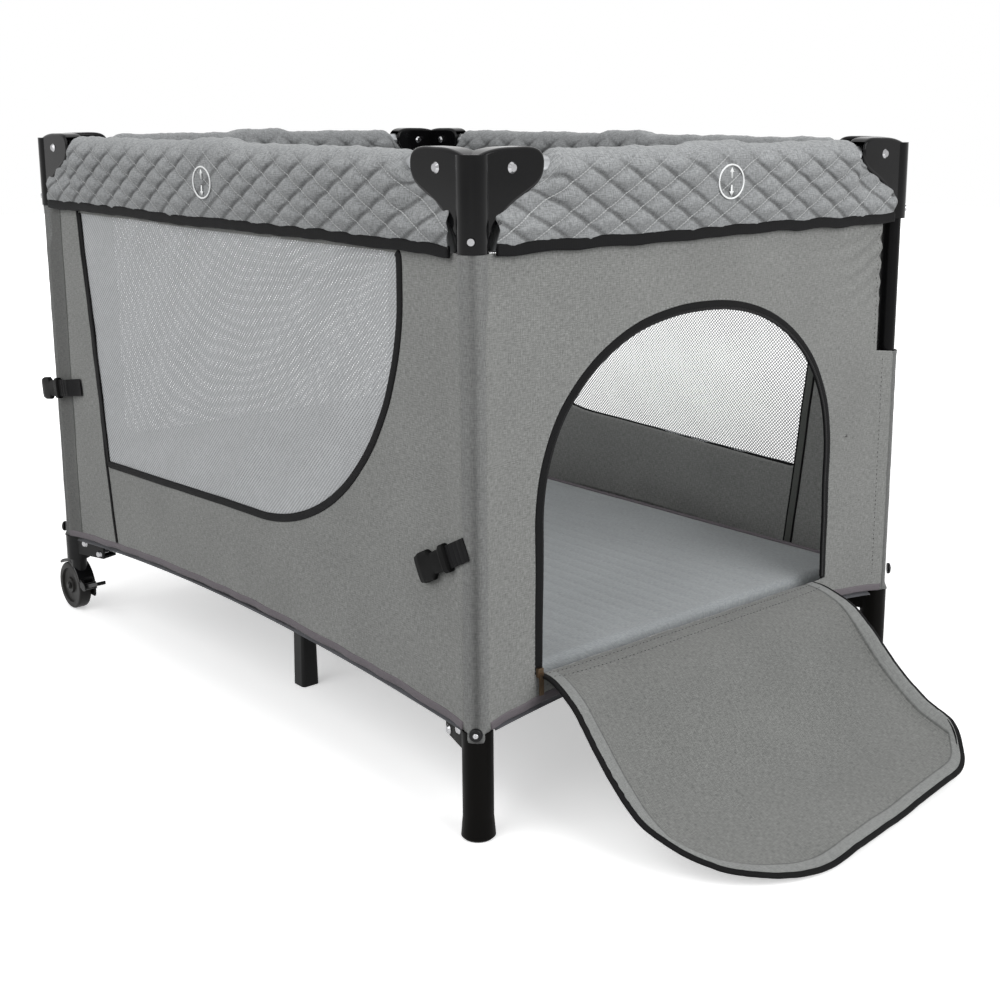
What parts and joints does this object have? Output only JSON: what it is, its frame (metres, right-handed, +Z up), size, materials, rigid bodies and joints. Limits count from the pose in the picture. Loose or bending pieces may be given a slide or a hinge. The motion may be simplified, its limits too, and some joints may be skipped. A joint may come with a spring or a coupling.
{
  "type": "playpen",
  "caption": "Folding fabric playpen with mesh windows, padded rails, a zipped crawl-through door left open as a ramp, a quilted mattress and castors at one end.",
  "frame": {"origin": "on the floor under the middle of the four posts", "axes": "+X along the long side towards the door, +Y towards the back long side, +Z up"},
  "size_m": [1.3804, 0.7702, 0.7573],
  "materials": {
    "cap_plastic": "moulded gloss black",
    "black_tube": "powder-coated tube",
    "silver_tube": "plated round tube",
    "black_plastic": "moulded, fine texture",
    "grey_plastic": "moulded, fine texture",
    "rivet_metal": "polished heads",
    "wall_cloth": "woven melange",
    "cover_cloth": "quilted woven melange",
    "net_cloth": "open warp-knit net",
    "mattress_cloth": "channel-quilted cover",
    "floor_cloth": "coated weave",
    "zip_metal": "bronze-toned pull",
    "strap_plastic": "webbing and buckle"
  },
  "bodies": {
    "post_door_front": {"post_door_front": "black_tube", "corner_cap_door_front": "cap_plastic", "fasteners_door_front": "rivet_metal", "foot_door_front": "black_plastic", "wall_door": "wall_cloth", "rail_cover_door": "cover_cloth", "buckle_strap_door": "strap_plastic"},
    "post_door_back": {"post_door_back": "black_tube", "corner_cap_door_back": "cap_plastic", "fasteners_door_back": "rivet_metal", "foot_door_back": "black_plastic", "wall_back": "wall_cloth", "rail_cover_back": "cover_cloth", "net_back": "net_cloth"},
    "post_wheel_front": {"post_wheel_front": "black_tube", "corner_cap_wheel_front": "cap_plastic", "fasteners_wheel_front": "rivet_metal", "castor_bracket_wheel_front": "black_plastic", "wall_front": "wall_cloth", "rail_cover_front": "cover_cloth", "net_front": "net_cloth", "buckle_strap_wheel": "strap_plastic"},
    "post_wheel_back": {"post_wheel_back": "black_tube", "corner_cap_wheel_back": "cap_plastic", "fasteners_wheel_back": "rivet_metal", "castor_bracket_wheel_back": "black_plastic", "wall_wheel": "wall_cloth", "rail_cover_wheel": "cover_cloth", "net_wheel": "net_cloth"},
    "rail_front_door": {"rail_front_door": "silver_tube"},
    "rail_front_wheel": {"rail_front_wheel": "silver_tube"},
    "rail_door_back": {"rail_door_back": "silver_tube"},
    "rail_door_front": {"rail_door_front": "silver_tube"},
    "rail_back_wheel": {"rail_back_wheel": "silver_tube"},
    "rail_back_door": {"rail_back_door": "silver_tube"},
    "rail_wheel_front": {"rail_wheel_front": "silver_tube"},
    "rail_wheel_back": {"rail_wheel_back": "silver_tube"},
    "base_tube_door_front": {"base_tube_door_front": "silver_tube"},
    "base_tube_door_back": {"base_tube_door_back": "silver_tube"},
    "base_tube_wheel_front": {"base_tube_wheel_front": "silver_tube"},
    "base_tube_wheel_back": {"base_tube_wheel_back": "silver_tube"},
    "mid_leg_front": {"mid_leg_front": "black_plastic"},
    "cross_link_front": {"cross_link_front": "silver_tube"},
    "mid_leg_back": {"mid_leg_back": "black_plastic"},
    "cross_link_back": {"cross_link_back": "silver_tube"},
    "floor_hub": {"floor_hub": "black_plastic", "floor_sheet": "floor_cloth"},
    "mattress": {"mattress": "mattress_cloth"},
    "door_flap": {"door_flap": "wall_cloth"},
    "zip_slider": {"zip_slider": "zip_metal"},
    "castor_wheel_front": {"castor_hood_wheel_front": "grey_plastic"},
    "castor_wheel_wheel_front": {"castor_wheel_wheel_front": "grey_plastic"},
    "brake_lever_wheel_front": {"brake_lever_wheel_front": "grey_plastic"},
    "castor_wheel_back": {"castor_hood_wheel_back": "grey_plastic"},
    "castor_wheel_wheel_back": {"castor_wheel_wheel_back": "grey_plastic"},
    "brake_lever_wheel_back": {"brake_lever_wheel_back": "grey_plastic"},
    "latch_button_front": {"latch_button_front": "black_plastic"},
    "latch_button_door": {"latch_button_door": "black_plastic"},
    "latch_button_back": {"latch_button_back": "black_plastic"},
    "latch_button_wheel": {"latch_button_wheel": "black_plastic"}
  },
  "joints": [
    {"name": "fold", "type": "hinge", "parent": "post_door_front", "child": "rail_front_door", "pos_m": [0.463, -0.364, 0.736], "axis": [0, -1, 0], "range_deg": [0, 78], "deforming": ["wall_front", "wall_door", "wall_back", "wall_wheel", "rail_cover_front", "rail_cover_door", "rail_cover_back", "rail_cover_wheel", "net_front", "net_back", "net_wheel", "floor_sheet", "mattress", "door_flap", "buckle_strap_door", "buckle_strap_wheel"]},
    {"name": "rail_front_lock_pivot", "type": "hinge", "parent": "rail_front_door", "child": "rail_front_wheel", "pos_m": [0, -0.364, 0.736], "axis": [0, 1, 0], "range_deg": [0, 156]},
    {"name": "rail_front_wheel_pivot", "type": "hinge", "parent": "rail_front_wheel", "child": "post_wheel_front", "pos_m": [-0.463, -0.364, 0.736], "axis": [0, -1, 0], "range_deg": [0, 78]},
    {"name": "rail_door_front_pivot", "type": "hinge", "parent": "post_door_front", "child": "rail_door_front", "pos_m": [0.505, -0.322, 0.736], "axis": [-1, 0, 0], "range_deg": [0, 78]},
    {"name": "rail_door_lock_pivot", "type": "hinge", "parent": "rail_door_front", "child": "rail_door_back", "pos_m": [0.505, 0, 0.736], "axis": [1, 0, 0], "range_deg": [0, 156]},
    {"name": "rail_door_back_pivot", "type": "hinge", "parent": "rail_door_back", "child": "post_door_back", "pos_m": [0.505, 0.322, 0.736], "axis": [-1, 0, 0], "range_deg": [0, 78]},
    {"name": "rail_back_door_pivot", "type": "hinge", "parent": "post_door_back", "child": "rail_back_door", "pos_m": [0.463, 0.364, 0.736], "axis": [0, -1, 0], "range_deg": [0, 78]},
    {"name": "rail_back_lock_pivot", "type": "hinge", "parent": "rail_back_door", "child": "rail_back_wheel", "pos_m": [0, 0.364, 0.736], "axis": [0, 1, 0], "range_deg": [0, 156]},
    {"name": "rail_back_wheel_pivot", "type": "hinge", "parent": "rail_back_wheel", "child": "post_wheel_back", "pos_m": [-0.463, 0.364, 0.736], "axis": [0, -1, 0], "range_deg": [0, 78]},
    {"name": "rail_wheel_front_pivot", "type": "hinge", "parent": "post_wheel_front", "child": "rail_wheel_front", "pos_m": [-0.505, -0.322, 0.736], "axis": [-1, 0, 0], "range_deg": [0, 78]},
    {"name": "rail_wheel_lock_pivot", "type": "hinge", "parent": "rail_wheel_front", "child": "rail_wheel_back", "pos_m": [-0.505, 0, 0.736], "axis": [1, 0, 0], "range_deg": [0, 156]},
    {"name": "base_tube_door_front_pivot", "type": "hinge", "parent": "post_door_front", "child": "base_tube_door_front", "pos_m": [0.478, -0.354, 0.118], "axis": [0.3026, 0.9531, 0], "range_deg": [0, 78]},
    {"name": "base_tube_door_back_pivot", "type": "hinge", "parent": "post_door_back", "child": "base_tube_door_back", "pos_m": [0.478, 0.354, 0.118], "axis": [-0.3026, 0.9531, 0], "range_deg": [0, 78]},
    {"name": "base_tube_wheel_front_pivot", "type": "hinge", "parent": "post_wheel_front", "child": "base_tube_wheel_front", "pos_m": [-0.478, -0.354, 0.118], "axis": [0.3026, -0.9531, 0], "range_deg": [0, 78]},
    {"name": "base_tube_wheel_back_pivot", "type": "hinge", "parent": "post_wheel_back", "child": "base_tube_wheel_back", "pos_m": [-0.478, 0.354, 0.118], "axis": [-0.3026, -0.9531, 0], "range_deg": [0, 78]},
    {"name": "mid_leg_front_pivot", "type": "hinge", "parent": "base_tube_door_front", "child": "mid_leg_front", "pos_m": [0.015, -0.207, 0.118], "axis": [-0.3026, -0.9531, 0], "range_deg": [0, 78]},
    {"name": "mid_leg_back_pivot", "type": "hinge", "parent": "base_tube_door_back", "child": "mid_leg_back", "pos_m": [0.015, 0.207, 0.118], "axis": [0.3026, -0.9531, 0], "range_deg": [0, 78]},
    {"name": "cross_link_front_pivot", "type": "hinge", "parent": "mid_leg_front", "child": "cross_link_front", "pos_m": [0, -0.189, 0.118], "axis": [1, 0, 0], "range_deg": [0, 78]},
    {"name": "floor_hub_pivot", "type": "hinge", "parent": "cross_link_front", "child": "floor_hub", "pos_m": [0, -0.014, 0.118], "axis": [-1, 0, 0], "range_deg": [0, 78]},
    {"name": "cross_link_back_pivot", "type": "hinge", "parent": "floor_hub", "child": "cross_link_back", "pos_m": [0, 0.014, 0.118], "axis": [-1, 0, 0], "range_deg": [0, 78]},
    {"name": "mattress_lift", "type": "slide", "parent": "floor_hub", "child": "mattress", "axis": [0, 0, 1], "range_m": [0, 0.65]},
    {"name": "door_flap_close", "type": "hinge", "parent": "post_door_front", "child": "door_flap", "pos_m": [0.5165, -0.027, 0.171], "axis": [0, -1, 0], "range_deg": [0, 115]},
    {"name": "zip_run", "type": "slide", "parent": "post_door_front", "child": "zip_slider", "axis": [0, 0, 1], "range_m": [0, 0.135]},
    {"name": "castor_swivel_front", "type": "hinge", "parent": "post_wheel_front", "child": "castor_wheel_front", "pos_m": [-0.505, -0.364, 0.089], "axis": [0, 0, 1], "continuous": true},
    {"name": "wheel_spin_front", "type": "hinge", "parent": "castor_wheel_front", "child": "castor_wheel_wheel_front", "pos_m": [-0.525, -0.364, 0.038], "axis": [0, 1, 0], "continuous": true},
    {"name": "brake_press_front", "type": "hinge", "parent": "castor_wheel_front", "child": "brake_lever_wheel_front", "pos_m": [-0.474, -0.364, 0.047], "axis": [0, 1, 0], "range_deg": [0, 20]},
    {"name": "castor_swivel_back", "type": "hinge", "parent": "post_wheel_back", "child": "castor_wheel_back", "pos_m": [-0.505, 0.364, 0.089], "axis": [0, 0, 1], "continuous": true},
    {"name": "wheel_spin_back", "type": "hinge", "parent": "castor_wheel_back", "child": "castor_wheel_wheel_back", "pos_m": [-0.525, 0.364, 0.038], "axis": [0, 1, 0], "continuous": true},
    {"name": "brake_press_back", "type": "hinge", "parent": "castor_wheel_back", "child": "brake_lever_wheel_back", "pos_m": [-0.474, 0.364, 0.047], "axis": [0, 1, 0], "range_deg": [0, 20]},
    {"name": "latch_press_front", "type": "slide", "parent": "rail_front_door", "child": "latch_button_front", "axis": [0, 1, 0], "range_m": [0, 0.005], "stiffness_N_per_m": 300, "springref_m": -0.002},
    {"name": "latch_press_door", "type": "slide", "parent": "rail_door_back", "child": "latch_button_door", "axis": [-1, 0, 0], "range_m": [0, 0.005], "stiffness_N_per_m": 300, "springref_m": -0.002},
    {"name": "latch_press_back", "type": "slide", "parent": "rail_back_wheel", "child": "latch_button_back", "axis": [0, -1, 0], "range_m": [0, 0.005], "stiffness_N_per_m": 300, "springref_m": -0.002},
    {"name": "latch_press_wheel", "type": "slide", "parent": "rail_wheel_front", "child": "latch_button_wheel", "axis": [1, 0, 0], "range_m": [0, 0.005], "stiffness_N_per_m": 300, "springref_m": -0.002}
  ],
  "couplings": [
    {"joint": "rail_front_lock_pivot", "follows": "fold", "ratio": 2},
    {"joint": "rail_front_wheel_pivot", "follows": "fold", "ratio": 1},
    {"joint": "rail_door_front_pivot", "follows": "fold", "ratio": 1},
    {"joint": "rail_door_lock_pivot", "follows": "fold", "ratio": 2},
    {"joint": "rail_door_back_pivot", "follows": "fold", "ratio": 1},
    {"joint": "rail_back_door_pivot", "follows": "fold", "ratio": 1},
    {"joint": "rail_back_lock_pivot", "follows": "fold", "ratio": 2},
    {"joint": "rail_back_wheel_pivot", "follows": "fold", "ratio": 1},
    {"joint": "rail_wheel_front_pivot", "follows": "fold", "ratio": 1},
    {"joint": "rail_wheel_lock_pivot", "follows": "fold", "ratio": 2},
    {"joint": "base_tube_door_front_pivot", "follows": "fold", "ratio": 1},
    {"joint": "base_tube_door_back_pivot", "follows": "fold", "ratio": 1},
    {"joint": "base_tube_wheel_front_pivot", "follows": "fold", "ratio": 1},
    {"joint": "base_tube_wheel_back_pivot", "follows": "fold", "ratio": 1},
    {"joint": "mid_leg_front_pivot", "follows": "fold", "ratio": 1},
    {"joint": "mid_leg_back_pivot", "follows": "fold", "ratio": 1},
    {"joint": "cross_link_front_pivot", "follows": "fold", "ratio": 1},
    {"joint": "floor_hub_pivot", "follows": "fold", "ratio": 1},
    {"joint": "cross_link_back_pivot", "follows": "fold", "ratio": 1}
  ]
}
